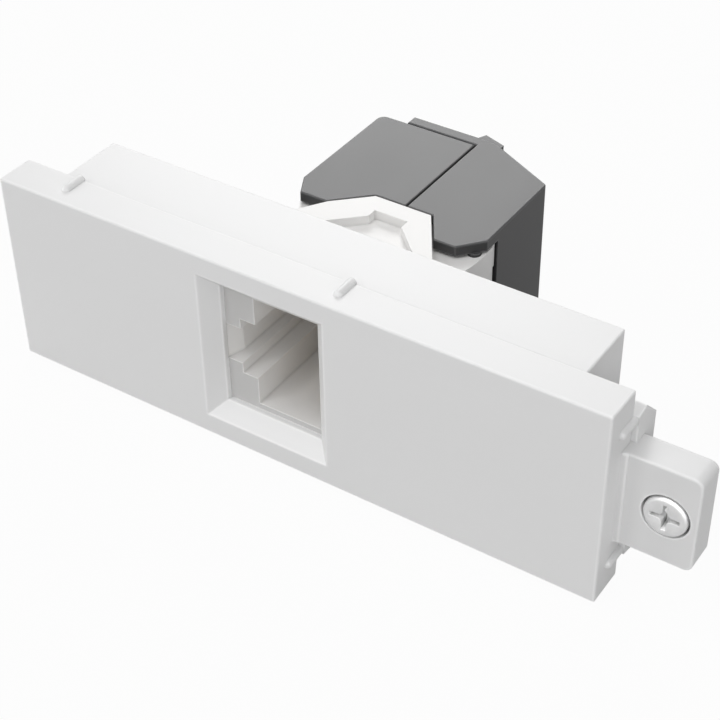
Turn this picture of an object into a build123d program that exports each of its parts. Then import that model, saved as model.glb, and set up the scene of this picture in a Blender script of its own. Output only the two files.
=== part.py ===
from build123d import *
import os
from math import hypot, sqrt

# Ethernet socket module: a long face plate that carries one eight-way socket.
# The plate snaps into its frame at one end and is screwed down by a tab at the other.
# The socket clips into the back of the plate, turned so that its catch points left.
# X runs along the plate, Y from its face to the back, and Z is up.
# The origin is the middle of the plug window, on the plate's front face.

# Face plate, slab and window
plate_length = 63.0
plate_height = 20.3
plate_thickness = 4.0
plate_left = 29.3
plate_skin = 2.0
plate_edge = 0.15
window_length = 10.5
window_height = 13.1
window_bevel = 1.45

# Face plate, box behind the slab
box_left = 24.9
box_right = 29.3
box_inset = 0.35
box_back = 10.95
box_wall = 1.4
pocket_round = 0.3
stiffener_thickness = 1.0
stiffener_height = 3.0

# Face plate, crush ribs and end catches
rib_radius = 0.45
rib_tip = 1.92
rib_left_x = -22.8
rib_right_x = 7.2
rib_end_z = 7.1
catch_reach = 0.5
catch_height = 15.7
catch_lead = 1.4
catch_slope = 0.22
catch_depth = 3.35
catch_bevel = 1.9

# Face plate, screw tab
tab_length = 7.05
tab_height = 9.8
tab_front = 2.5
tab_thickness = 2.9
tab_corner = 0.8
tab_root = 0.45
tab_edge = 0.15
screw_from_end = 4.25

# Screw
screw_diameter = 2.5
screw_length = 3.6
screw_neck_diameter = 2.1
screw_neck_spare = 0.3
screw_tip_bevel = 0.3
screw_head_diameter = 4.1
screw_head_height = 1.7
screw_head_round = 0.45
screw_head_proud = 0.23
screw_cross_span = 3.0
screw_cross_width = 0.7
screw_cross_depth = 1.0
screw_cross_taper = 12
screw_play = 0.1

# Port behind the window that takes the socket
port_play = 0.15
port_lip = 1.5
port_wall = 1.2
latch_gap = 0.9

# Socket body
nose_height = 14.5
nose_left = 6.6
nose_right = 8.05
jack_height = 16.7
jack_left = 7.4
jack_right = 12.53
side_radius = 13.5
side_set_in = 0.03
left_ear = 7.25
left_ear_start = 17.4
left_shoulder = 5.9
left_shoulder_y = 14.6
left_bulge = 0.15
ear_back = 19.35
ear_step = 0.3
ear_step_height = 9.1
lug_reach = 1.4
lug_height = 7.0
hook_reach = 1.2
hook_ramp = 2.4
hook_land = 1.05
arm_thickness = 1.0
arm_height = 9.0
arm_back = 14.2

# Plug opening: the main bay, then two steps for the plug's latch
plug_height = 11.9
plug_right = 4.85
plug_left = 2.0
plug_depth = 14.0
step_height = 6.1
step_reach = 1.65
notch_height = 3.9
notch_reach = 1.1
notch_flare = 0.6
notch_flare_depth = 1.75

# Raised pad between the two clamps, and the shallow recess in it
pad_back = 18.4
pad_left = 0.15
pad_right = 6.15
pad_left_slope = 1.05
pad_right_slope = 0.637
pad_recess = 0.95
recess_back = 16.4
recess_step = 15.35
recess_left = 1.37
recess_right = 4.88
recess_slope = 1.05

# Bay behind the plug opening, and the comb in it that keeps the springs apart
carrier_front = 3.2
carrier_left = 5.3
carrier_right = 7.3
carrier_height = 10.4
carrier_slot = 1.2

# Spring contacts
contact_count = 8
contact_pitch = 1.02
contact_thickness = 0.3
contact_front = 4.3
contact_lane = 6.2
contact_tip_x = 2.95
contact_tip_y = 11.4
contact_bend = 0.45
contact_play = 0.1
contact_tail_y = 18.3

# Board and wire terminals
board_x = 3.15
board_thickness = 1.2
board_inset = 0.7
board_front = 17.6
board_back = 28.3
terminal_width = 7.4
terminal_back = 29.3
terminal_rim = 0.4
wire_lanes = 4
wire_lane = 1.4
wire_lane_depth = 2.4
blade_thickness = 0.4
blade_width = 2.4
blade_slot = 0.32
blade_slot_depth = 2.2
blade_set_back = 0.3
blade_first = 22.6
blade_stagger = 3.2
fit_play = 0.1

# Clamps that press the wires down, hinged near their front corners
clamp_plate = 1.05
clamp_wall = 1.2
clamp_gap = 0.15
clamp_under = 0.3
clamp_edge = 0.1
clamp_front = 15.3
clamp_back = 31.0
clamp_corner = 0.9
wall_gap = 0.2
left_bevel_x = 1.2
left_bevel_y = 2.3
right_bevel_x = 1.98
right_bevel_y = 2.35
rear_slope = 0.504
rear_corner_y = 28.5
rear_round = 5.0
rear_edge_round = 0.5
strip_back = 32.4
strip_left = 4.4
seam_x = 3.38
hinge_y = 17.0
hinge_left = 6.35
hinge_right = 11.55
hinge_pin = 1.2
hinge_pin_length = 1.5
hinge_play = 0.06
comb_front = 21.2
comb_back = 28.6
comb_gap = 0.35
comb_groove = 1.8
cable_bore = 6.6
nub_left = 2.4
nub_right = 5.4
nub_back = 33.8
nub_slant_x = 0.6
nub_slant_y = 0.8
nub_set_down = 0.45
nub_height = 2.5

# Worked out from the sizes above
plate_right = plate_length - plate_left
plate_middle = (plate_right - plate_left) / 2
box_middle = (box_right - box_left) / 2
box_height = plate_height - 2 * box_inset
box_depth = box_back - plate_skin
lip_front = box_back - port_lip
port_left = nose_left + latch_gap + arm_thickness + hook_reach + 3 * port_play
port_right = nose_right + lug_reach + 2 * port_play
lip_left = port_left - hook_reach
lip_right = port_right - lug_reach + port_play
port_height = nose_height + 2 * port_play
screw_x = plate_right + screw_from_end
head_front = tab_front - screw_head_proud
neck_front = head_front + screw_head_height
thread_front = tab_front + tab_thickness + screw_neck_spare
thread_length = neck_front + screw_length - thread_front
body_front = box_back + port_play
clamp_inside = jack_height / 2 - clamp_plate
body_height = 2 * (clamp_inside - clamp_under)
board_right = board_x + board_thickness / 2
tails_left = board_x - board_thickness / 2 - fit_play
terminal_left = board_x - terminal_width / 2
terminal_right = board_x + terminal_width / 2
terminal_height = body_height
board_height = terminal_height - 2 * board_inset
wire_pitch = (terminal_height - terminal_rim) / wire_lanes
clamp_wall_front = ear_back + wall_gap


def front_plane(depth):
    # A plane parallel to the plate's face, this far behind it.
    return Plane.XZ.offset(-depth)


def across(x):
    # A plane square to the plate's length, seen from its right end.
    return Plane.YZ.offset(x)


# Face plate
rib_places = [
    (rib_left_x, plate_height / 2),
    (rib_right_x, plate_height / 2),
    (rib_left_x, -plate_height / 2),
    (rib_right_x, -plate_height / 2),
    (plate_right, rib_end_z),
    (plate_right, -rib_end_z),
]

with BuildPart() as face_plate:
    # Slab with lightly broken edges
    with BuildSketch(front_plane(0)):
        with Locations((plate_middle, 0)):
            Rectangle(plate_length, plate_height)
    extrude(amount=-plate_thickness)
    fillet(face_plate.edges(), plate_edge)
    # Plug window with its wide bevel
    with BuildSketch(front_plane(0)):
        Rectangle(window_length, window_height)
    extrude(amount=-plate_thickness, mode=Mode.SUBTRACT)
    face = face_plate.faces().sort_by(Axis.Y)[0]
    chamfer(face.inner_wires()[0].edges(), window_bevel)
    # Box behind the slab
    with BuildPart(mode=Mode.PRIVATE) as box:
        with BuildSketch(front_plane(plate_skin)):
            with Locations((box_middle, 0)):
                Rectangle(box_right + box_left, box_height)
        extrude(amount=-box_depth)
        fillet(box.edges().sort_by(Axis.Y)[4:], plate_edge)
    add(box.part)
    # Catches at both ends, with a sloping top and a bevelled back
    with BuildSketch(across(box_right - box_wall / 2)) as right_catch:
        with BuildLine():
            catch_top = catch_height / 2
            catch_back = plate_thickness + catch_depth
            Polyline(
                (plate_thickness, catch_top - catch_lead * catch_slope),
                (plate_thickness + catch_lead, catch_top),
                (catch_back, catch_top - catch_bevel),
                (catch_back, 0),
                (plate_thickness, 0),
                close=True,
            )
        make_face()
        mirror(about=Plane.XZ)
    extrude(amount=plate_right + catch_reach - box_right + box_wall / 2)
    with BuildSketch(across(-box_left + box_wall / 2)):
        add(right_catch.sketch_local)
    extrude(amount=-(plate_left + catch_reach - box_left + box_wall / 2))
    # Crush ribs, half round with a ball end
    for rib_x, rib_z in rib_places:
        with BuildSketch(front_plane(rib_tip)):
            with Locations((rib_x, rib_z)):
                Circle(rib_radius)
        extrude(amount=-(plate_thickness - rib_tip))
        with Locations((rib_x, rib_tip, rib_z)):
            Sphere(rib_radius)
    # Screw tab with rounded corners
    with BuildPart(mode=Mode.PRIVATE) as tab:
        with BuildSketch(front_plane(tab_front)):
            with Locations((plate_right + (tab_length - plate_edge) / 2, 0)):
                Rectangle(tab_length + plate_edge, tab_height)
        extrude(amount=-tab_thickness)
        fillet(tab.edges().filter_by(Axis.Y).group_by(Axis.X)[-1], tab_corner)
        tab_front_rim = tab.faces().sort_by(Axis.Y)[0].edges()
        fillet(tab_front_rim.filter_by(lambda edge: edge.center().X > plate_right), tab_edge)
    add(tab.part)
    # Hollow at the tab's root
    with BuildSketch(Plane.XY.offset(-tab_height / 2)):
        with BuildLine():
            root_bend = tab_root * (1 - sqrt(0.5))
            ThreePointArc(
                (plate_right, tab_front - tab_root),
                (plate_right + root_bend, tab_front - root_bend),
                (plate_right + tab_root, tab_front),
            )
            Polyline(
                (plate_right + tab_root, tab_front),
                (plate_right + tab_root, tab_front + tab_edge),
                (plate_right - plate_edge, tab_front + tab_edge),
                (plate_right - plate_edge, tab_front - tab_root),
                (plate_right, tab_front - tab_root),
            )
        make_face()
    extrude(amount=tab_height)
    # Countersunk bore for the screw
    tab_face = Plane(origin=(screw_x, tab_front, 0), x_dir=(1, 0, 0), z_dir=(0, -1, 0))
    with Locations(tab_face):
        CounterBoreHole(
            radius=screw_diameter / 2 + screw_play,
            counter_bore_radius=screw_head_diameter / 2 + screw_play,
            counter_bore_depth=screw_head_height - screw_head_proud,
        )
    # Bay that takes the socket, with a lip behind which its hooks catch
    with BuildSketch(front_plane(plate_skin)):
        with Locations(((port_right - port_left) / 2, 0)):
            Rectangle(port_right + port_left, port_height)
    extrude(amount=-(lip_front - plate_skin), mode=Mode.SUBTRACT)
    with BuildSketch(front_plane(plate_skin)):
        with Locations(((lip_right - lip_left) / 2, 0)):
            Rectangle(lip_right + lip_left, port_height)
    extrude(amount=-box_depth, mode=Mode.SUBTRACT)
    # Cored pockets beside the bay, open at the back, with low stiffeners
    left_pocket = (-box_left + box_wall, -port_left - port_wall)
    right_pocket = (port_right + port_wall, box_right - box_wall)
    for start, end in (left_pocket, right_pocket):
        with BuildSketch(front_plane(plate_skin)):
            with Locations(((start + end) / 2, 0)):
                RectangleRounded(end - start, box_height - 2 * box_wall, pocket_round)
        extrude(amount=-box_depth, mode=Mode.SUBTRACT)
        with BuildSketch(front_plane(plate_skin)):
            with Locations(((start + end) / 2, 0)):
                Rectangle(end - start, stiffener_thickness)
                Rectangle(stiffener_thickness, box_height - 2 * box_wall)
        extrude(amount=-stiffener_height)

# Screw: round head, cross recess and a thin neck in the tab that keeps it from falling out
with BuildPart() as tab_screw:
    with BuildSketch(front_plane(head_front)):
        with Locations((screw_x, 0)):
            Circle(screw_head_diameter / 2)
    extrude(amount=-screw_head_height)
    fillet(tab_screw.edges().sort_by(Axis.Y)[0], screw_head_round)
    with BuildSketch(front_plane(neck_front)):
        with Locations((screw_x, 0)):
            Circle(screw_neck_diameter / 2)
    extrude(amount=-screw_length)
    with BuildSketch(front_plane(thread_front)):
        with Locations((screw_x, 0)):
            Circle(screw_diameter / 2)
    extrude(amount=-thread_length)
    chamfer(tab_screw.edges().sort_by(Axis.Y)[-1], screw_tip_bevel)
    with BuildSketch(front_plane(head_front)):
        with Locations((screw_x, 0)):
            Rectangle(screw_cross_span, screw_cross_width)
            Rectangle(screw_cross_width, screw_cross_span)
    extrude(amount=-screw_cross_depth, taper=screw_cross_taper, mode=Mode.SUBTRACT)

# Socket body
ear_right = jack_right - side_set_in
side_centre = ear_right - side_radius
side_front_x = side_centre + sqrt(side_radius**2 - (hinge_y - body_front) ** 2)
side_back_x = side_centre + sqrt(side_radius**2 - (ear_back - hinge_y) ** 2)
pad_front_run = pad_back - body_front
pad_front_left = (pad_left - (pad_back - clamp_front) * pad_left_slope, clamp_front)
recess_run = recess_step - body_front
with BuildPart() as jack_housing:
    # Nose that fills the bay
    with BuildSketch(front_plane(plate_skin)):
        with Locations(((nose_right - nose_left) / 2, 0)):
            Rectangle(nose_right + nose_left, nose_height)
    extrude(amount=-(body_front - plate_skin))
    # Body behind the plate, with an ear for each hinge and a bowed right side
    with BuildSketch(Plane.XY.offset(-body_height / 2)):
        with BuildLine():
            left_bow = (
                -(left_shoulder + left_ear + left_bulge) / 2,
                (left_shoulder_y + left_ear_start - left_bulge) / 2,
            )
            Line((-left_shoulder, body_front), (-left_shoulder, left_shoulder_y))
            ThreePointArc((-left_shoulder, left_shoulder_y), left_bow, (-left_ear, left_ear_start))
            Polyline(
                (-left_ear, left_ear_start),
                (-left_ear, ear_back),
                (side_back_x, ear_back),
            )
            ThreePointArc(
                (side_back_x, ear_back), (ear_right, hinge_y), (side_front_x, body_front)
            )
            Line((side_front_x, body_front), (-left_shoulder, body_front))
        make_face()
    extrude(amount=body_height)
    # Step in the back of both ears
    with BuildSketch(Plane.XY.offset(-ear_step_height / 2)):
        for ear_x in (-jack_left, jack_right):
            with Locations((ear_x, ear_back)):
                Rectangle(2 * clamp_wall, 2 * ear_step)
    extrude(amount=ear_step_height, mode=Mode.SUBTRACT)
    # Raised pads, top and bottom, each with a shallow recess open to the front
    for side in (1, -1):
        with BuildSketch(Plane.XY.offset(side * body_height / 2)):
            with BuildLine():
                Polyline(
                    (pad_left, pad_back),
                    (pad_right, pad_back),
                    (pad_right + pad_front_run * pad_right_slope, body_front),
                    (-left_shoulder, body_front),
                    pad_front_left,
                    close=True,
                )
            make_face()
        extrude(amount=side * (jack_height - body_height) / 2)
        with BuildSketch(Plane.XY.offset(side * jack_height / 2)):
            with BuildLine():
                Polyline(
                    (recess_left, recess_back),
                    (recess_right, recess_back),
                    (recess_right, recess_step),
                    (recess_right + recess_run * recess_slope, body_front),
                    (recess_left - recess_run * recess_slope, body_front),
                    (recess_left, recess_step),
                    close=True,
                )
            make_face()
        extrude(amount=-side * pad_recess, mode=Mode.SUBTRACT)
    # Plug opening with its two steps; the notch flares at the front to lead the latch in
    with BuildSketch(front_plane(plate_skin)):
        with Locations(((plug_right - plug_left) / 2, 0)):
            Rectangle(plug_right + plug_left, plug_height)
        with Locations((-plug_left - step_reach / 2, 0)):
            Rectangle(step_reach, step_height)
        with Locations((-plug_left - step_reach - notch_reach / 2, 0)):
            Rectangle(notch_reach, notch_height)
    extrude(amount=-plug_depth, mode=Mode.SUBTRACT)
    with BuildSketch(Plane.XY.offset(-notch_height / 2)):
        with BuildLine():
            notch_x = -plug_left - step_reach - notch_reach
            Polyline(
                (notch_x, plate_skin),
                (notch_x - notch_flare, plate_skin),
                (notch_x, plate_skin + notch_flare_depth),
                close=True,
            )
        make_face()
    extrude(amount=notch_height, mode=Mode.SUBTRACT)
    # Bay for the spring contacts
    with BuildSketch(front_plane(carrier_front)):
        with Locations(((plug_right + carrier_right) / 2, 0)):
            Rectangle(carrier_right - plug_right, carrier_height + 2 * fit_play)
    extrude(amount=-(ear_back - carrier_front), mode=Mode.SUBTRACT)
    # Room at the back for the board's edge and the contact tails
    with BuildSketch(front_plane(board_front - fit_play)):
        with Locations(((tails_left + carrier_right) / 2, 0)):
            Rectangle(carrier_right - tails_left, board_height + 2 * fit_play)
    extrude(amount=-(ear_back - board_front + fit_play), mode=Mode.SUBTRACT)
    # Springy latch arm on the left, fixed lug on the right
    with BuildSketch(Plane.XY.offset(-arm_height / 2)):
        with BuildLine():
            arm_outside = -nose_left - latch_gap - arm_thickness
            hook_back = lip_front - port_play
            tail_front = body_front + port_play
            Polyline(
                (-nose_left + port_play, plate_skin),
                (arm_outside, plate_skin),
                (arm_outside, hook_back - hook_land - hook_ramp),
                (arm_outside - hook_reach, hook_back - hook_land),
                (arm_outside - hook_reach, hook_back),
                (arm_outside, hook_back),
                (arm_outside, tail_front),
                (arm_outside - hook_reach, tail_front + hook_reach),
                (arm_outside - hook_reach, arm_back),
                (arm_outside + arm_thickness, arm_back),
                (arm_outside + arm_thickness, plate_skin + arm_thickness),
                (-nose_left + port_play, plate_skin + arm_thickness),
                close=True,
            )
        make_face()
    extrude(amount=arm_height)
    with BuildSketch(Plane.XY.offset(-lug_height / 2)):
        with BuildLine():
            Polyline(
                (nose_right - port_play, lip_front - 2 * lug_reach),
                (nose_right, lip_front - 2 * lug_reach),
                (nose_right + lug_reach, lip_front - lug_reach),
                (nose_right + lug_reach, lip_front - port_play),
                (nose_right - port_play, lip_front - port_play),
                close=True,
            )
        make_face()
    extrude(amount=lug_height)
    # Blind holes for the clamps' hinge pins
    for side in (1, -1):
        for hinge_x in (-hinge_left, hinge_right):
            with BuildSketch(Plane.XY.offset(side * body_height / 2)):
                with Locations((hinge_x, hinge_y)):
                    Circle(hinge_pin / 2 + hinge_play)
            extrude(amount=-side * hinge_pin_length, mode=Mode.SUBTRACT)

# Contact carrier: a comb that keeps the eight springs apart
with BuildPart() as contact_carrier:
    with BuildSketch(front_plane(carrier_front + fit_play)):
        with Locations(((carrier_left + carrier_right - fit_play) / 2, 0)):
            Rectangle(carrier_right - fit_play - carrier_left, carrier_height)
    extrude(amount=-(ear_back - carrier_front - 2 * fit_play))
    with BuildSketch(front_plane(carrier_front + fit_play)):
        with Locations((carrier_left + carrier_slot / 2, 0)):
            with GridLocations(0, contact_pitch, 1, contact_count):
                Rectangle(carrier_slot, contact_thickness + 2 * contact_play)
    extrude(amount=-(ear_back - carrier_front), mode=Mode.SUBTRACT)

# Spring contacts: a tail on the board, a run through the carrier and a tip in the plug opening
contacts = []
for number in range(contact_count):
    contact_z = (number - (contact_count - 1) / 2) * contact_pitch
    contact_plane = Plane.XY.offset(contact_z)
    with BuildPart() as contact:
        with BuildLine(contact_plane) as contact_path:
            FilletPolyline(
                (board_right, contact_tail_y),
                (contact_lane, contact_tail_y),
                (contact_lane, contact_front),
                (contact_lane - 3 * contact_bend, contact_front),
                (contact_tip_x, contact_tip_y),
                radius=contact_bend,
            )
        with BuildSketch(Plane(contact_path.line @ 0, z_dir=contact_path.line % 0)):
            Rectangle(contact_thickness, contact_thickness)
        sweep()
    contact.part.label = f"contact_{number + 1}"
    contacts.append(contact.part)

# Circuit board that joins the contacts to the wire terminals
with BuildPart() as circuit_board:
    with BuildSketch(across(board_x - board_thickness / 2)):
        with Locations(((board_front + board_back) / 2, 0)):
            Rectangle(board_back - board_front, board_height)
    extrude(amount=board_thickness)
    fillet(circuit_board.edges().filter_by(Axis.X).group_by(Axis.Y)[-1], board_thickness / 2)

# Terminal block: four wire lanes on each side of the board
lane_places = []
for lane in range(wire_lanes):
    lane_z = (lane - (wire_lanes - 1) / 2) * wire_pitch
    lane_places.append((lane_z, blade_first + (lane % 2) * blade_stagger))

with BuildPart() as terminal_block:
    with BuildSketch(front_plane(ear_back)):
        with Locations((board_x, 0)):
            Rectangle(terminal_width, terminal_height)
    extrude(amount=-(terminal_back - ear_back))
    fillet(terminal_block.edges().filter_by(Axis.Z).group_by(Axis.Y)[-1], wire_lane / 2)
    with BuildSketch(front_plane(ear_back)):
        with Locations((board_x, 0)):
            Rectangle(board_thickness + 2 * fit_play, board_height + 2 * fit_play)
    extrude(amount=-(board_back + fit_play - ear_back), mode=Mode.SUBTRACT)
    for side in (1, -1):
        side_face = board_x + side * terminal_width / 2
        for lane_z, blade_y in lane_places:
            # Wire lane, open at the back
            with BuildSketch(front_plane(comb_front)):
                with Locations((side_face - side * wire_lane_depth / 2, lane_z)):
                    Rectangle(wire_lane_depth, wire_lane)
            extrude(amount=-(terminal_back - comb_front), mode=Mode.SUBTRACT)
            # Slot that holds the blade
            with BuildSketch(front_plane(blade_y - blade_thickness / 2 - fit_play / 2)):
                with Locations((board_x + side * terminal_width / 4, lane_z)):
                    Rectangle(terminal_width / 2, blade_width + fit_play)
            extrude(amount=-(blade_thickness + fit_play), mode=Mode.SUBTRACT)

# Forked blades that cut through the wires' insulation
blades = []
blade_length = terminal_width / 2 - board_thickness / 2 - blade_set_back
for side in (1, -1):
    for lane_z, blade_y in lane_places:
        foot_x = board_x + side * board_thickness / 2
        tip_x = foot_x + side * blade_length
        with BuildPart() as blade:
            with BuildSketch(front_plane(blade_y - blade_thickness / 2)):
                with Locations(((foot_x + tip_x) / 2, lane_z)):
                    Rectangle(blade_length, blade_width)
                with Locations((tip_x - side * blade_slot_depth / 2, lane_z)):
                    Rectangle(blade_slot_depth, blade_slot, mode=Mode.SUBTRACT)
                with BuildLine():
                    Polyline(
                        (tip_x, lane_z - blade_width / 3),
                        (tip_x, lane_z + blade_width / 3),
                        (tip_x - side * blade_width / 3, lane_z),
                        close=True,
                    )
                make_face(mode=Mode.SUBTRACT)
            extrude(amount=-blade_thickness)
        blade.part.label = f"terminal_blade_{len(blades) + 1}"
        blades.append(blade.part)

# Left clamp: two plates, an outer wall, a back wall and a comb that presses the wires in
with BuildPart() as left_clamp:
    with BuildSketch(Plane.XY.offset(-jack_height / 2)) as left_plan:
        with BuildLine():
            Polyline(
                (seam_x - clamp_gap / 2, pad_back + clamp_gap),
                (pad_left - clamp_gap / 2, pad_back + clamp_gap),
                (pad_front_left[0] - clamp_gap, clamp_front),
                (left_bevel_x - jack_left, clamp_front),
                (-jack_left, clamp_front + left_bevel_y),
                (-jack_left, clamp_back),
                (seam_x - clamp_gap / 2, clamp_back),
                close=True,
            )
        make_face()
        fillet(left_plan.vertices().group_by(Axis.X)[0].sort_by(Axis.Y)[-1], clamp_corner)
    extrude(amount=jack_height)
    chamfer(left_clamp.faces().filter_by(Axis.Z).edges(), clamp_edge)
    with BuildSketch(Plane.XY.offset(-clamp_inside)):
        with BuildLine():
            Polyline(
                (jack_right, body_front),
                (-jack_right, body_front),
                (-jack_right, clamp_wall_front),
                (clamp_wall - jack_left, clamp_wall_front),
                (clamp_wall - jack_left, clamp_back - clamp_wall),
                (jack_right, clamp_back - clamp_wall),
                close=True,
            )
        make_face()
    extrude(amount=2 * clamp_inside, mode=Mode.SUBTRACT)
    # Comb
    left_comb_start = clamp_wall / 2 - jack_left
    left_comb_end = terminal_left - comb_gap
    with BuildSketch(front_plane(comb_front)):
        with Locations(((left_comb_start + left_comb_end) / 2, 0)):
            Rectangle(left_comb_end - left_comb_start, 2 * clamp_inside)
        with Locations((left_comb_end - comb_groove / 2, 0)):
            with GridLocations(0, wire_pitch, 1, wire_lanes):
                Rectangle(comb_groove, wire_lane, mode=Mode.SUBTRACT)
    extrude(amount=-(comb_back - comb_front))
    # Half of the cable entry
    with BuildSketch(front_plane(comb_back)):
        with Locations((board_x, 0)):
            Circle(cable_bore / 2)
    extrude(amount=-(strip_back - comb_back), mode=Mode.SUBTRACT)
    # Hinge pins on the insides of the plates
    for side in (1, -1):
        with BuildSketch(Plane.XY.offset(side * clamp_inside)):
            with Locations((-hinge_left, hinge_y)):
                Circle(hinge_pin / 2)
        extrude(amount=-side * hinge_pin_length)

# Right clamp: the same, with a sloping back and a strip that laps behind the left one
rear_drop = clamp_wall * hypot(1, rear_slope)
strip_front = clamp_back + clamp_gap
with BuildPart() as right_clamp:
    with BuildSketch(Plane.XY.offset(-jack_height / 2)) as right_plan:
        with BuildLine():
            Polyline(
                (seam_x + clamp_gap / 2, pad_back + clamp_gap),
                (pad_right + clamp_gap / 2, pad_back + clamp_gap),
                (pad_right + (pad_back - clamp_front) * pad_right_slope + clamp_gap, clamp_front),
                (jack_right - right_bevel_x, clamp_front),
                (jack_right, clamp_front + right_bevel_y),
                (jack_right, rear_corner_y),
                (jack_right - (strip_back - rear_corner_y) / rear_slope, strip_back),
                (-strip_left, strip_back),
                (-strip_left, strip_front),
                (seam_x + clamp_gap / 2, strip_front),
                close=True,
            )
        make_face()
        rear_corner = right_plan.vertices().group_by(Axis.X)[-1].sort_by(Axis.Y)[-1]
        fillet(rear_corner, rear_edge_round)
        rear_bend = right_plan.vertices().group_by(Axis.Y)[-1].sort_by(Axis.X)[-1]
        fillet(rear_bend, rear_round)
    extrude(amount=jack_height)
    chamfer(right_clamp.faces().filter_by(Axis.Z).edges(), clamp_edge)
    with BuildSketch(Plane.XY.offset(-clamp_inside)):
        with BuildLine():
            inner_x = jack_right - clamp_wall
            Polyline(
                (-jack_right, body_front),
                (2 * jack_right, body_front),
                (2 * jack_right, clamp_wall_front),
                (inner_x, clamp_wall_front),
                (inner_x, rear_corner_y + clamp_wall * rear_slope - rear_drop),
                (jack_right - (strip_front - rear_corner_y + rear_drop) / rear_slope, strip_front),
                (-jack_right, strip_front),
                close=True,
            )
        make_face()
    extrude(amount=2 * clamp_inside, mode=Mode.SUBTRACT)
    # Comb
    right_comb_start = terminal_right + comb_gap
    right_comb_end = jack_right - clamp_wall / 2
    with BuildSketch(front_plane(comb_front)):
        with Locations(((right_comb_start + right_comb_end) / 2, 0)):
            Rectangle(right_comb_end - right_comb_start, 2 * clamp_inside)
        with Locations((right_comb_start + comb_groove / 2, 0)):
            with GridLocations(0, wire_pitch, 1, wire_lanes):
                Rectangle(comb_groove, wire_lane, mode=Mode.SUBTRACT)
    extrude(amount=-(comb_back - comb_front))
    # Cable entry, open towards the left so that the clamp can swing clear of the cable
    with BuildSketch(front_plane(comb_back)):
        with Locations((board_x, 0)):
            Circle(cable_bore / 2)
        with Locations((board_x - jack_right / 2, 0)):
            Rectangle(jack_right, cable_bore)
    extrude(amount=-(nub_back - comb_back), mode=Mode.SUBTRACT)
    # Nub for prising the clamp open
    with BuildSketch(Plane.XY.offset(jack_height / 2 - nub_set_down - nub_height)):
        with BuildLine():
            Polyline(
                (nub_left, strip_back - clamp_wall / 2),
                (nub_left, strip_back + clamp_gap),
                (nub_left + nub_slant_x, nub_back),
                (nub_right, nub_back - nub_slant_y),
                (nub_right, strip_back - clamp_wall),
                close=True,
            )
        make_face()
    extrude(amount=nub_height)
    # Hinge pins on the insides of the plates
    for side in (1, -1):
        with BuildSketch(Plane.XY.offset(side * clamp_inside)):
            with Locations((hinge_right, hinge_y)):
                Circle(hinge_pin / 2)
        extrude(amount=-side * hinge_pin_length)

face_plate.part.label = "face_plate"
tab_screw.part.label = "tab_screw"
jack_housing.part.label = "jack_housing"
contact_carrier.part.label = "contact_carrier"
circuit_board.part.label = "circuit_board"
terminal_block.part.label = "terminal_block"
left_clamp.part.label = "left_clamp"
right_clamp.part.label = "right_clamp"

os.makedirs("parts", exist_ok=True)
export_step(face_plate.part, "parts/face_plate.step")
export_step(tab_screw.part, "parts/tab_screw.step")
export_step(jack_housing.part, "parts/jack_housing.step")
export_step(contact_carrier.part, "parts/contact_carrier.step")
export_step(circuit_board.part, "parts/circuit_board.step")
export_step(terminal_block.part, "parts/terminal_block.step")
export_step(left_clamp.part, "parts/left_clamp.step")
export_step(right_clamp.part, "parts/right_clamp.step")
for piece in contacts + blades:
    export_step(piece, f"parts/{piece.label}.step")
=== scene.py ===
import math

import bpy
from mathutils import Matrix, Vector


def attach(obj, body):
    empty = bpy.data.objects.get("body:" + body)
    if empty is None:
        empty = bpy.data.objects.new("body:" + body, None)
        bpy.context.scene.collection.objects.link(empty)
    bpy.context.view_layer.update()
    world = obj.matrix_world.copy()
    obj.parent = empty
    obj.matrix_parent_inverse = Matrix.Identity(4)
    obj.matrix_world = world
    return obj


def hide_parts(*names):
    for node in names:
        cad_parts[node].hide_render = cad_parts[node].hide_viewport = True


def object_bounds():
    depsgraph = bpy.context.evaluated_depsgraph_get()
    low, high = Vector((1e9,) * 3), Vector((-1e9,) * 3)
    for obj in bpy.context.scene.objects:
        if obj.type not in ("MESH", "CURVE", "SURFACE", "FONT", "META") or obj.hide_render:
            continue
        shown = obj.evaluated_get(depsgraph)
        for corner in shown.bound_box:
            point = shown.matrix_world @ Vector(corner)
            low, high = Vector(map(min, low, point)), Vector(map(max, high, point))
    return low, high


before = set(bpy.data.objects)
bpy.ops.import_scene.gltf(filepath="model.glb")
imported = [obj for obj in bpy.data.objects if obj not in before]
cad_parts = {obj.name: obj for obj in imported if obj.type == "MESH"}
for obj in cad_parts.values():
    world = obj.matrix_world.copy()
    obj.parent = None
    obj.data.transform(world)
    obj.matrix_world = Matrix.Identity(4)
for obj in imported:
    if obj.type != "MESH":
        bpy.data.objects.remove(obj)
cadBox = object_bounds()
mm = 0.001
print("frame loaded:", len(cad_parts), "nodes")


# Camera, as the photograph was taken

cameraLook = {
    "place": (0.07252, -0.09138, 0.09437),  # metres
    "turn": 34.145,  # degrees round the upright axis
    "rise": 38.716,
    "roll": -1.009,
    "lens": 84.684,  # millimetres
    "sensor": 36,  # millimetres, square
    "seen": (0.01, 10),  # nearest and farthest, metres
}


def placeCamera(look):
    cameraData = bpy.data.cameras.new("studioCamera")
    cameraData.sensor_width = look["sensor"]
    cameraData.sensor_height = look["sensor"]
    cameraData.sensor_fit = "HORIZONTAL"
    cameraData.lens = look["lens"]
    cameraData.clip_start, cameraData.clip_end = look["seen"]
    camera = bpy.data.objects.new("studioCamera", cameraData)
    bpy.context.scene.collection.objects.link(camera)
    turn = Matrix.Rotation(math.radians(look["turn"]), 4, "Z")
    tilt = Matrix.Rotation(math.radians(90 - look["rise"]), 4, "X")
    roll = Matrix.Rotation(math.radians(look["roll"]), 4, "Z")
    camera.matrix_world = Matrix.Translation(look["place"]) @ turn @ tilt @ roll
    bpy.context.scene.camera = camera


placeCamera(cameraLook)
print("camera placed")


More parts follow.
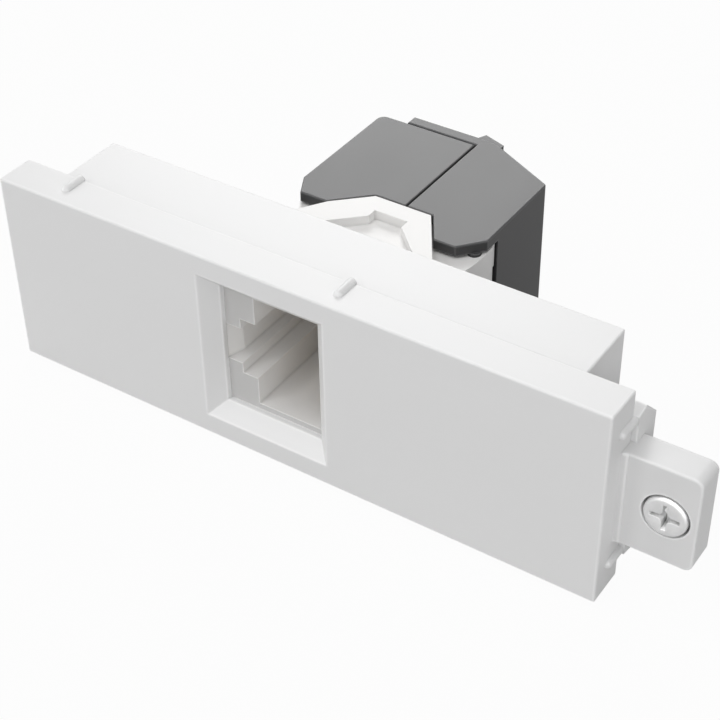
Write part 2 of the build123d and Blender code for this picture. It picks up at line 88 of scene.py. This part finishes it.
# Node maths


class Wire:
    # one output of a shader node, on which + - and * add Math nodes

    def __init__(self, tree, socket=None):
        self.tree = tree
        self.socket = socket

    def node(self, kind, settings=None, inputs=None, output=0):
        # any node: its settings first, then a value or a link for each input
        made = self.tree.nodes.new(kind)
        for name, value in (settings or {}).items():
            setattr(made, name, value)
        for name, value in (inputs or {}).items():
            if isinstance(value, Wire):
                self.tree.links.new(value.socket, made.inputs[name])
            else:
                made.inputs[name].default_value = value
        return Wire(self.tree, made.outputs[output])

    def maths(self, operation, first, second):
        return self.node("ShaderNodeMath", {"operation": operation}, {0: first, 1: second})

    def __add__(self, other):
        return self.maths("ADD", self, other)

    def __radd__(self, other):
        return self.maths("ADD", other, self)

    def __sub__(self, other):
        return self.maths("SUBTRACT", self, other)

    def __rsub__(self, other):
        return self.maths("SUBTRACT", other, self)

    def __mul__(self, other):
        return self.maths("MULTIPLY", self, other)

    def __rmul__(self, other):
        return self.maths("MULTIPLY", other, self)

    def ease(self, low, high):
        # 0 below low, 1 above high, smooth between
        return self.node(
            "ShaderNodeMapRange",
            {"interpolation_type": "SMOOTHSTEP"},
            {"Value": self, "From Min": low, "From Max": high},
        )

    def blend(self, dark, light):
        # a colour between two, by this value
        return self.node(
            "ShaderNodeMix",
            {"data_type": "RGBA"},
            {0: self, 6: dark, 7: light},
            output=2,
        )


def newMaterial(name):
    # an empty material, and a pen that writes its nodes
    material = bpy.data.materials.new(name)
    material.use_nodes = True
    material.node_tree.nodes.clear()
    return material, Wire(material.node_tree)


def rgb(colour, times=1.0):
    # a colour for a socket, made lighter or darker but never past white
    return (*(min(1.0, c * times) for c in colour), 1)


def noise(pen, place, size, detail=2.0, roughness=0.5):
    # size is the width of one patch, in millimetres
    return pen.node(
        "ShaderNodeTexNoise",
        inputs={"Vector": place, "Scale": 1 / (size * mm), "Detail": detail, "Roughness": roughness},
    )


def stretched(pen, place, factors):
    # squeezes the pattern's coordinates, so that its patches grow long where the factor is small
    return pen.node("ShaderNodeMapping", inputs={"Vector": place, "Scale": factors})


def openness(pen, depth):
    # 1 on open faces, less in a crease or recess of this depth in millimetres
    return pen.node(
        "ShaderNodeAmbientOcclusion",
        {"samples": 4, "only_local": True},
        {"Distance": depth * mm},
        output="AO",
    )


def roundedBy(pen, radius):
    # the normal of a surface whose edges are rounded by this radius in millimetres
    return pen.node("ShaderNodeBevel", {"samples": 6}, {"Radius": radius * mm})


def relief(pen, height, depth, under=None):
    # a bump of this depth in millimetres, over the normal under it
    values = {"Strength": 1.0, "Distance": depth * mm, "Height": height}
    if under is not None:
        values["Normal"] = under
    return pen.node("ShaderNodeBump", inputs=values)


def finish(pen, surface):
    out = pen.tree.nodes.new("ShaderNodeOutputMaterial")
    pen.tree.links.new(surface.socket, out.inputs["Surface"])


# Lamps: large soft boxes round the socket, and a sky that lights as grey and is seen as white

lampLook = {
    "aim": (0.0, 0.010, 0.0),  # metres
    "distance": 1.3,
    "boxes": [
        # name, turn and rise as seen from the socket, width in metres, power per square metre
        ("frontBox", 0, 62, 1.0, 3.9),
        ("edgeBox", -35, 40, 0.22, 38.0),
        ("lowBox", 0, 8, 0.5, 7.8),
        ("topBox", 0, 88, 1.0, 3.05),
        ("rearBox", 214, 31, 0.5, 14.0),
        ("backBox", 203, 44, 0.45, 6.0),
        ("sideBox", 84, 24, 0.7, 3.4),
        ("rightBox", 52, 14, 0.6, 7.6),
        ("leftBox", -72, 10, 0.6, 12.5),
    ],
    "sky": (0.2, 0.2, 0.2),
}


def placeLamps(look):
    for name, turn, rise, width, strength in look["boxes"]:
        lampData = bpy.data.lights.new(name, "AREA")
        lampData.shape = "SQUARE"
        lampData.size = width
        lampData.energy = strength * width * width
        lamp = bpy.data.objects.new(name, lampData)
        bpy.context.scene.collection.objects.link(lamp)
        lamp.visible_camera = False
        turn, rise = math.radians(turn), math.radians(rise)
        level = math.cos(rise)
        away = Vector((math.sin(turn) * level, -math.cos(turn) * level, math.sin(rise)))
        lamp.location = Vector(look["aim"]) + away * look["distance"]
        lamp.rotation_euler = away.to_track_quat("Z", "Y").to_euler()


def seenDirectly(pen, reflected=1.0):
    # 1 for what the camera sees, reflected for what a gloss shows, and 0 for light that falls on things
    camera = pen.node("ShaderNodeLightPath", output="Is Camera Ray")
    glossy = pen.node("ShaderNodeLightPath", output="Is Glossy Ray")
    through = pen.node("ShaderNodeLightPath", output="Is Transmission Ray")
    return pen.maths("MAXIMUM", pen.maths("MAXIMUM", camera, glossy * reflected), through)


def paintSky(look):
    world = bpy.data.worlds.new("studioSky")
    world.use_nodes = True
    world.node_tree.nodes.clear()
    pen = Wire(world.node_tree)
    grey = pen.node("ShaderNodeBackground", inputs={"Color": rgb(look["sky"])})
    white = pen.node("ShaderNodeBackground", inputs={"Color": (1, 1, 1, 1)})
    sky = pen.node("ShaderNodeMixShader", inputs={0: seenDirectly(pen), 1: grey, 2: white})
    out = world.node_tree.nodes.new("ShaderNodeOutputWorld")
    world.node_tree.links.new(sky.socket, out.inputs["Surface"])
    bpy.context.scene.world = world


placeLamps(lampLook)
paintSky(lampLook)
print("lamps and sky set")


# Floor, white in the photograph

floorLook = {
    "width": 1.6,  # metres
    "middle": (0, 0.01),
    "colour": (0.55, 0.55, 0.55),
    "fibre": 6.0,  # millimetres
    "fibreTone": 0.985,
    "white": 0.96,  # share of pure white, the rest is lit and keeps the shadow
    "reflected": 0.20,  # of that share, what a gloss shows
}


def layFloor(look):
    bpy.ops.object.select_all(action="DESELECT")
    bpy.ops.mesh.primitive_plane_add(size=look["width"], location=(*look["middle"], cadBox[0][2]))
    floor = bpy.context.object
    floor.name = "studioFloor"
    bpy.ops.object.transform_apply(location=True, rotation=True, scale=True)
    material, pen = newMaterial("floorPaper")
    place = pen.node("ShaderNodeTexCoord", output="Object")
    fibre = noise(pen, place, look["fibre"], detail=4)
    colour = fibre.blend(rgb(look["colour"], look["fibreTone"]), rgb(look["colour"]))
    paper = pen.node("ShaderNodeBsdfDiffuse", inputs={"Color": colour})
    white = pen.node("ShaderNodeEmission", inputs={"Color": (1, 1, 1, 1), "Strength": 1.0})
    share = seenDirectly(pen, look["reflected"]) * look["white"]
    surface = pen.node("ShaderNodeMixShader", inputs={0: share, 1: paper, 2: white})
    finish(pen, surface)
    floor.data.materials.append(material)


layFloor(floorLook)
print("floor laid")


# Moulded plastics. Sizes in millimetres

plateFinish = {
    "name": "platePlastic",
    "colour": (0.80, 0.80, 0.80),
    "tone": 0.012,  # how far the colour drifts across the moulding
    "toneSize": 11.0,
    "flow": (0.25, 1.0, 1.0),  # the drift runs along the plate, as the melt did
    "roughness": 0.35,
    "satin": 0.06,  # how far the shine drifts
    "grain": 0.16,
    "grainDepth": 0.0007,
    "ripple": 5.0,
    "rippleDepth": 0.004,
    "edge": 0.19,
    "edgeHighlightTone": 0.25,
    "creaseShadeTone": 0.96,
}

housingFinish = {
    "name": "housingPlastic",
    "colour": (0.88, 0.873, 0.862),
    "noseShadeTone": 0.69,  # painted shade: the nose's front face, set back behind the window, is painted greyer than the rest
    "noseDepth": 2.1,
    "tone": 0.010,
    "toneSize": 6.0,
    "flow": (1.0, 0.4, 1.0),
    "roughness": 0.40,
    "satin": 0.05,
    "grain": 0.14,
    "grainDepth": 0.0006,
    "ripple": 4.0,
    "rippleDepth": 0.003,
    "edge": 0.10,
    "edgeHighlightTone": 0.10,
    "creaseShadeTone": 0.88,
}

carrierFinish = {
    "name": "carrierPlastic",
    "colour": (0.50, 0.485, 0.46),
    "tone": 0.03,
    "toneSize": 3.0,
    "flow": (1.0, 0.3, 1.0),
    "roughness": 0.45,
    "satin": 0.06,
    "grain": 0.12,
    "grainDepth": 0.0008,
    "ripple": 3.0,
    "rippleDepth": 0.002,
    "edge": 0.05,
    "edgeHighlightTone": 0.06,
    "creaseShadeTone": 0.90,
}

terminalFinish = {
    "name": "terminalPlastic",
    "colour": (0.86, 0.855, 0.84),
    "tone": 0.015,
    "toneSize": 4.0,
    "flow": (1.0, 0.4, 1.0),
    "roughness": 0.42,
    "satin": 0.06,
    "grain": 0.14,
    "grainDepth": 0.0007,
    "ripple": 3.0,
    "rippleDepth": 0.002,
    "edge": 0.08,
    "edgeHighlightTone": 0.08,
    "creaseShadeTone": 0.88,
}

clampFinish = {
    "name": "clampPlastic",
    "colour": (0.037, 0.037, 0.038),
    "tone": 0.05,
    "toneSize": 7.0,
    "flow": (1.0, 0.5, 1.0),
    "roughness": 0.38,
    "satin": 0.05,
    "grain": 0.11,
    "grainDepth": 0.0016,
    "ripple": 4.0,
    "rippleDepth": 0.002,
    "edge": 0.13,
    "edgeHighlightTone": 1.8,
    "creaseShadeTone": 0.90,
}


# What all the mouldings share. Sizes in millimetres
mouldingLook = {
    "wearAndHighlightReach": 1.8,  # width of a worn edge and its painted highlight, against its rounding
    "wearAndHighlightBand": (0.003, 0.05),  # 1 less the cosine of the edge's turn, where the wear and the painted edge highlight start and are full
    "wearShine": 0.08,  # what the wear takes off the roughness
    "grainShine": 0.04,  # how far the roughness follows the grain
    "creaseDepth": 0.35,
    "creaseBand": (0.62, 0.92),  # openness where the painted crease shade is full and where it ends
    "noseBlend": 0.05,
}


def mouldedPlastic(look, shared):
    material, pen = newMaterial(look["name"])
    place = pen.node("ShaderNodeTexCoord", output="Object")
    drift = noise(pen, stretched(pen, place, look["flow"]), look["toneSize"], detail=3)
    colour = drift.blend(rgb(look["colour"], 1 - look["tone"]), rgb(look["colour"], 1 + look["tone"]))
    # painted shade on the nose's front face, darker than the housing behind it
    if "noseShadeTone" in look:
        depth = pen.node("ShaderNodeSeparateXYZ", inputs={"Vector": place}, output="Y")
        behind = depth.ease((look["noseDepth"] - shared["noseBlend"]) * mm, look["noseDepth"] * mm)
        colour = behind.blend(rgb(look["colour"], look["noseShadeTone"]), colour)

    # edges get a painted highlight in their colour and are smoother, and the creases get painted shade
    flat = pen.node("ShaderNodeNewGeometry", output="Normal")
    wide = roundedBy(pen, look["edge"] * shared["wearAndHighlightReach"])
    along = pen.node(
        "ShaderNodeVectorMath", {"operation": "DOT_PRODUCT"}, {0: flat, 1: wide}, output="Value"
    )
    unshaded = openness(pen, shared["creaseDepth"]).ease(*shared["creaseBand"])
    # worn marks the rubbed edges: their roughness is lowered, and their colour is lightened as a
    # painted highlight
    worn = (1 - along).ease(*shared["wearAndHighlightBand"]) * unshaded
    colour = worn.blend(colour, rgb(look["colour"], 1 + look["edgeHighlightTone"]))
    # painted shade: creases are darkened where little light reaches them
    colour = unshaded.blend(rgb(look["colour"], look["creaseShadeTone"]), colour)

    fine = noise(pen, place, look["grain"], detail=2, roughness=0.6)
    satin = look["roughness"] + (drift - 0.5) * look["satin"]
    roughness = satin + (fine - 0.5) * shared["grainShine"] - worn * shared["wearShine"]
    ripple = noise(pen, place, look["ripple"], detail=1)
    wavy = relief(pen, ripple, look["rippleDepth"], roundedBy(pen, look["edge"]))
    grained = relief(pen, fine, look["grainDepth"], wavy)
    surface = pen.node(
        "ShaderNodeBsdfPrincipled",
        inputs={"Base Color": colour, "Roughness": roughness, "IOR": 1.5, "Normal": grained},
    )
    finish(pen, surface)
    return material


# Metals

contactFinish = {
    "name": "contactGold",
    "colour": (0.86, 0.60, 0.26),
    "worn": (0.74, 0.50, 0.22),
    "roughness": 0.24,
    "drawn": 0.05,  # width of the drawing marks, mm
    "edge": 0.04,
}

bladeFinish = {
    "name": "bladeTin",
    "colour": (0.72, 0.72, 0.70),
    "worn": (0.60, 0.60, 0.59),
    "roughness": 0.34,
    "drawn": 0.08,
    "edge": 0.03,
}

screwFinish = {
    "name": "screwSteel",
    "colour": (0.93, 0.93, 0.93),
    "worn": (0.86, 0.86, 0.86),
    "roughness": 0.50,
    "drawn": 0.06,
    "edge": 0.03,
}


# What all the platings share. Sizes in millimetres
platingLook = {
    "cloud": 0.9,  # width of the brighter and duller patches
    "cloudBand": (0.35, 0.75),
    "cloudShine": 0.10,
    "drawing": (1.0, 0.08, 1.0),  # the marks run along y
    "drawingShine": 0.08,
    "drawingDepth": 0.0009,
    "recessDepth": 0.5,
    "recessBand": (0.20, 0.75),  # openness where the painted recess shade is full and where it ends
    "recessShadeTone": 0.42,
}


def platedMetal(look, shared):
    material, pen = newMaterial(look["name"])
    place = pen.node("ShaderNodeTexCoord", output="Object")
    cloud = noise(pen, place, shared["cloud"], detail=3)
    colour = cloud.ease(*shared["cloudBand"]).blend(rgb(look["colour"]), rgb(look["worn"]))
    # painted shade: recesses are darkened where little light reaches them
    unshaded = openness(pen, shared["recessDepth"]).ease(*shared["recessBand"])
    colour = unshaded.blend(rgb(look["worn"], shared["recessShadeTone"]), colour)
    marks = noise(pen, stretched(pen, place, shared["drawing"]), look["drawn"], detail=2)
    dull = look["roughness"] + (cloud - 0.5) * shared["cloudShine"]
    roughness = dull + (marks - 0.5) * shared["drawingShine"]
    scored = relief(pen, marks, shared["drawingDepth"], roundedBy(pen, look["edge"]))
    surface = pen.node(
        "ShaderNodeBsdfPrincipled",
        inputs={"Base Color": colour, "Metallic": 1.0, "Roughness": roughness, "Normal": scored},
    )
    finish(pen, surface)
    return material


# Board: green lacquer over copper tracks. Sizes in millimetres

boardFinish = {
    "name": "boardLaminate",
    "lacquer": (0.010, 0.085, 0.035),
    "track": (0.018, 0.150, 0.060),
    "trackPitch": 0.85,
    "trackWidth": 0.38,
    "trackEdge": 0.05,  # half the width of its slope, in pitches
    "trackHeight": 0.02,
    "bend": 7.0,  # length over which the tracks wander
    "sway": 0.6,  # how far they wander, in pitches
    "weave": 0.18,
    "weaveRun": (1.0, 1.0, 0.2),  # the weave is longest along z
    "weaveTone": 0.15,
    "weaveHeight": 0.1,  # against a track
    "weaveShine": 0.08,
    "roughness": 0.28,
}


def lacqueredBoard(look):
    material, pen = newMaterial(look["name"])
    place = pen.node("ShaderNodeTexCoord", output="Object")
    spot = pen.node("ShaderNodeSeparateXYZ", inputs={"Vector": place}, output="Z")
    wander = noise(pen, place, look["bend"], detail=1)
    lane = spot * (1 / (look["trackPitch"] * mm)) + wander * look["sway"]
    middle = pen.maths("PINGPONG", lane, 0.5)
    half = look["trackWidth"] / look["trackPitch"] / 2
    track = 1 - middle.ease(half - look["trackEdge"], half + look["trackEdge"])
    weave = noise(pen, stretched(pen, place, look["weaveRun"]), look["weave"], detail=2)
    tone = look["weaveTone"]
    lacquer = weave.blend(rgb(look["lacquer"], 1 - tone), rgb(look["lacquer"], 1 + tone))
    colour = track.blend(lacquer, rgb(look["track"]))
    raised = relief(pen, track + weave * look["weaveHeight"], look["trackHeight"])
    roughness = look["roughness"] + weave * look["weaveShine"]
    surface = pen.node(
        "ShaderNodeBsdfPrincipled",
        inputs={"Base Color": colour, "Roughness": roughness, "Normal": raised},
    )
    finish(pen, surface)
    return material


platePlastic = mouldedPlastic(plateFinish, mouldingLook)
housingPlastic = mouldedPlastic(housingFinish, mouldingLook)
carrierPlastic = mouldedPlastic(carrierFinish, mouldingLook)
terminalPlastic = mouldedPlastic(terminalFinish, mouldingLook)
clampPlastic = mouldedPlastic(clampFinish, mouldingLook)
contactGold = platedMetal(contactFinish, platingLook)
bladeTin = platedMetal(bladeFinish, platingLook)
screwSteel = platedMetal(screwFinish, platingLook)
boardLaminate = lacqueredBoard(boardFinish)

dressing = {
    "face_plate": platePlastic,
    "jack_housing": housingPlastic,
    "contact_carrier": carrierPlastic,
    "circuit_board": boardLaminate,
    "terminal_block": terminalPlastic,
    "left_clamp": clampPlastic,
    "right_clamp": clampPlastic,
    "tab_screw": screwSteel,
}
for number in range(1, 9):
    dressing[f"contact_{number}"] = contactGold
    dressing[f"terminal_blade_{number}"] = bladeTin

for node, material in dressing.items():
    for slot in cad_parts[node].material_slots:
        slot.material = material
print("materials given to", len(dressing), "nodes")


# New pieces, modelled here

near = 0.01  # millimetres, how close a point lies to the place that it is picked by
smoothAngle = math.radians(32)


def pickByPlace(piece, test, kind="FACE"):
    # selects the faces whose middle passes the test, or the edges or points that pass it at every end
    bpy.ops.object.mode_set(mode="OBJECT")
    mesh = piece.data
    for group in (mesh.polygons, mesh.edges, mesh.vertices):
        for element in group:
            element.select = False
    if kind == "FACE":
        for face in mesh.polygons:
            face.select = test(face.center / mm)
    elif kind == "EDGE":
        for edge in mesh.edges:
            ends = [mesh.vertices[v].co / mm for v in edge.vertices]
            edge.select = all(test(end) for end in ends)
    else:
        for vertex in mesh.vertices:
            vertex.select = test(vertex.co / mm)
    bpy.ops.object.mode_set(mode="EDIT")
    bpy.ops.mesh.select_mode(type=kind)


def settle(piece):
    # the piece's place goes into its mesh
    bpy.ops.object.select_all(action="DESELECT")
    piece.select_set(True)
    bpy.context.view_layer.objects.active = piece
    bpy.ops.object.transform_apply(location=True, rotation=True, scale=True)


def roundPicked(radius, steps):
    bpy.ops.mesh.bevel(offset=radius * mm, segments=steps, profile=0.5)


def narrowPicked(factors, middle):
    # resizes what is picked about a middle in millimetres
    bpy.ops.transform.resize(value=factors, center_override=[place * mm for place in middle])


def drawOut(length):
    # pulls the picked faces towards the back
    bpy.ops.mesh.extrude_region_move(TRANSFORM_OT_translate={"value": (0, length * mm, 0)})


def turnOutwards():
    # every face points outwards, and edit mode ends
    bpy.ops.mesh.select_all(action="SELECT")
    bpy.ops.mesh.normals_make_consistent(inside=False)
    bpy.ops.object.mode_set(mode="OBJECT")


def coat(piece, material):
    # the piece is the selected one
    bpy.ops.object.shade_smooth_by_angle(angle=smoothAngle)
    piece.data.materials.clear()
    piece.data.materials.append(material)


# Screw, with its cross recess and thread. Sizes in millimetres

screwLook = {
    "middle": (37.95, 0.0),  # x and z
    "face": 2.27,
    "sides": 96,
    "headRadius": 1.95,
    "headHeight": 1.70,
    "rim": 0.30,
    "shoulder": 0.06,  # narrow ring at the edge of the head's back
    "neckRadius": 1.02,
    "threadStart": 5.72,
    "coreRadius": 0.98,
    "tip": 7.55,
    "point": 0.25,  # length of the narrowing at the tip
    "pointTaper": 0.72,
    "brokenEdge": 0.035,
    "brokenAngle": 35,  # degrees, from which an edge is broken
}

recessLook = {
    "armWidth": 0.46,
    "armSpan": 2.8,
    "depth": 1.05,
    "taper": 0.80,  # the recess floor against its mouth
    "flank": 0.46,
    "proud": 0.4,  # how far the cutter stands out of the head's face
}

threadLook = {
    "crestRadius": 1.245,
    "pitch": 0.45,
    "turns": 2,
    "steps": 40,  # in each turn
    "sunk": 0.05,  # how far the tooth reaches into the core
    "lead": 0.45,  # where the first tooth stands, in pitches
    "foot": 0.86,  # width of the tooth at its foot, in pitches
    "crest": 0.14,  # width at its crest, against its foot
}


def drawShank(screw, look):
    # round rim in front, then neck, core and tip drawn out of the head's back
    x, z = look["middle"]
    face, height = look["face"], look["headHeight"]
    head, neck, core = look["headRadius"], look["neckRadius"], look["coreRadius"]
    pickByPlace(screw, lambda p: abs(p.y - face) < near, "EDGE")
    roundPicked(look["rim"], 6)
    pickByPlace(screw, lambda p: abs(p.y - face - height) < near)
    bpy.ops.mesh.inset(thickness=look["shoulder"] * mm)
    bpy.ops.mesh.inset(thickness=(head - neck - look["shoulder"]) * mm)
    drawOut(look["threadStart"] - face - height)
    bpy.ops.mesh.inset(thickness=(neck - core) * mm)
    drawOut(look["tip"] - look["threadStart"] - look["point"])
    drawOut(look["point"])
    taper = look["pointTaper"]
    narrowPicked((taper, 1, taper), (x, look["tip"], z))
    bpy.ops.object.mode_set(mode="OBJECT")


def cutRecess(screw, look, recess):
    # four arms pulled out of a small block, with hollow flanks and a narrower floor
    x, z = look["middle"]
    width, depth, proud = recess["armWidth"], recess["depth"], recess["proud"]
    floor, half = look["face"] + depth, width / 2
    middle = look["face"] + depth / 2 - proud / 2
    bpy.ops.object.select_all(action="DESELECT")
    bpy.ops.mesh.primitive_cube_add(size=1, location=(x * mm, middle * mm, z * mm))
    cutter = bpy.context.object
    cutter.scale = (width * mm, (depth + proud) * mm, width * mm)
    settle(cutter)
    pickByPlace(cutter, lambda p: max(abs(p.x - x), abs(p.z - z)) > half - near)
    reach = (recess["armSpan"] - width) / 2
    bpy.ops.mesh.extrude_faces_move(
        TRANSFORM_OT_shrink_fatten={"value": reach * mm, "use_even_offset": False}
    )

    def inCorner(p):
        return abs(abs(p.x - x) - half) < near and abs(abs(p.z - z) - half) < near

    pickByPlace(cutter, inCorner, "EDGE")
    roundPicked(recess["flank"], 6)
    pickByPlace(cutter, lambda p: p.y > floor - near, "VERT")
    narrowPicked((recess["taper"], 1, recess["taper"]), (x, floor, z))
    bpy.ops.object.mode_set(mode="OBJECT")

    cut = screw.modifiers.new("recess", "BOOLEAN")
    cut.operation = "DIFFERENCE"
    cut.object = cutter
    cut.solver = "EXACT"
    bpy.context.view_layer.objects.active = screw
    bpy.ops.object.modifier_apply(modifier=cut.name)
    bpy.data.objects.remove(cutter)
    soften = screw.modifiers.new("brokenEdges", "BEVEL")
    soften.width = look["brokenEdge"] * mm
    soften.segments = 2
    soften.limit_method = "ANGLE"
    soften.angle_limit = math.radians(look["brokenAngle"])
    bpy.ops.object.modifier_apply(modifier=soften.name)


def windThread(look, winding):
    # one tooth, wound along the core
    x, z = look["middle"]
    core, sunk = look["coreRadius"], winding["sunk"]
    pitch, crest, turns = winding["pitch"], winding["crestRadius"], winding["turns"]
    start = look["threadStart"] + pitch * winding["lead"]
    bpy.ops.object.select_all(action="DESELECT")
    bpy.ops.mesh.primitive_plane_add(size=1, location=(0, 0, 0))
    thread = bpy.context.object
    thread.scale = ((crest - core + sunk) * mm, pitch * winding["foot"] * mm, 1)
    thread.location = ((crest + core - sunk) / 2 * mm, start * mm, 0)
    settle(thread)
    pickByPlace(thread, lambda p: p.x > (crest + core) / 2, "VERT")
    narrowPicked((1, winding["crest"], 1), (0, start, 0))
    bpy.ops.object.mode_set(mode="OBJECT")
    wind = thread.modifiers.new("winding", "SCREW")
    wind.axis = "Y"
    wind.angle = math.radians(360) * turns
    wind.screw_offset = pitch * turns * mm
    wind.iterations = 1
    wind.steps = wind.render_steps = winding["steps"] * turns
    wind.use_merge_vertices = False
    bpy.ops.object.modifier_apply(modifier=wind.name)
    bpy.ops.object.mode_set(mode="EDIT")
    bpy.ops.mesh.select_all(action="DESELECT")
    bpy.ops.mesh.select_mode(type="VERT")
    bpy.ops.mesh.select_non_manifold()
    bpy.ops.mesh.edge_face_add()
    turnOutwards()
    thread.location = (x * mm, 0, z * mm)
    settle(thread)
    return thread


def turnScrew(look, recess, winding):
    x, z = look["middle"]
    bpy.ops.object.select_all(action="DESELECT")
    bpy.ops.mesh.primitive_cylinder_add(
        vertices=look["sides"],
        radius=look["headRadius"] * mm,
        depth=look["headHeight"] * mm,
        location=(x * mm, (look["face"] + look["headHeight"] / 2) * mm, z * mm),
        rotation=(math.radians(90), 0, 0),
    )
    screw = bpy.context.object
    screw.name = "screw_detail"
    settle(screw)
    drawShank(screw, look)
    cutRecess(screw, look, recess)
    thread = windThread(look, winding)

    bpy.ops.object.select_all(action="DESELECT")
    thread.select_set(True)
    screw.select_set(True)
    bpy.context.view_layer.objects.active = screw
    bpy.ops.object.join()
    coat(screw, screwSteel)
    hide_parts("tab_screw")
    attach(screw, "socket")
    print("screw made:", len(screw.data.polygons), "faces")


turnScrew(screwLook, recessLook, threadLook)


# Low step where the screw tab leaves the plate's end. Sizes in millimetres

stepLook = {
    "low": (33.58, 2.34, -4.83),  # its left, front, lower corner, a little inside the plate
    "high": (34.28, 2.62, 4.83),  # its right, back, upper corner
    "round": 0.11,
}


def raiseStep(look):
    low, high = Vector(look["low"]), Vector(look["high"])
    bpy.ops.object.select_all(action="DESELECT")
    bpy.ops.mesh.primitive_cube_add(size=1, location=(low + high) / 2 * mm)
    step = bpy.context.object
    step.name = "tab_root_step"
    step.scale = (high - low) * mm
    settle(step)

    def onFrontRim(p):
        return p.y < low.y + near and (p.x > high.x - near or abs(p.z) > high.z - near)

    pickByPlace(step, onFrontRim, "EDGE")
    roundPicked(look["round"], 4)
    turnOutwards()
    coat(step, platePlastic)
    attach(step, "socket")
    print("tab root stepped:", len(step.data.polygons), "faces")


raiseStep(stepLook)

bpy.context.scene.view_settings.view_transform = "Standard"

print("object dressed")
